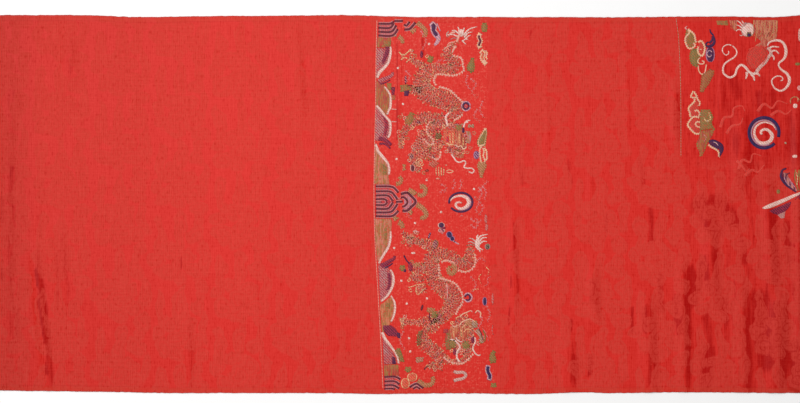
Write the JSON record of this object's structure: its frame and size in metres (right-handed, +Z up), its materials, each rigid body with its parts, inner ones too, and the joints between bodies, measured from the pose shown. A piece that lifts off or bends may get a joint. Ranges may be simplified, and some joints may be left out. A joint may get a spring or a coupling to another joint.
{
  "type": "brocade panel",
  "caption": "Loom-width length of red silk brocade laid out flat, with a band of woven dragons, waves and clouds across it.",
  "frame": {"origin": "on the surface that the cloth lies on, under the middle of the panel", "axes": "+X along the cloth's length, towards the corner with the cloud and beard motifs; +Y across the loom width; +Z up out of the cloth's face"},
  "size_m": [1.4302, 0.664, 0.0069],
  "materials": {
    "red_silk": "figured satin silk, soft lustre"
  },
  "bodies": {
    "root": {"cloth_panel": "red_silk"}
  },
  "joints": []
}
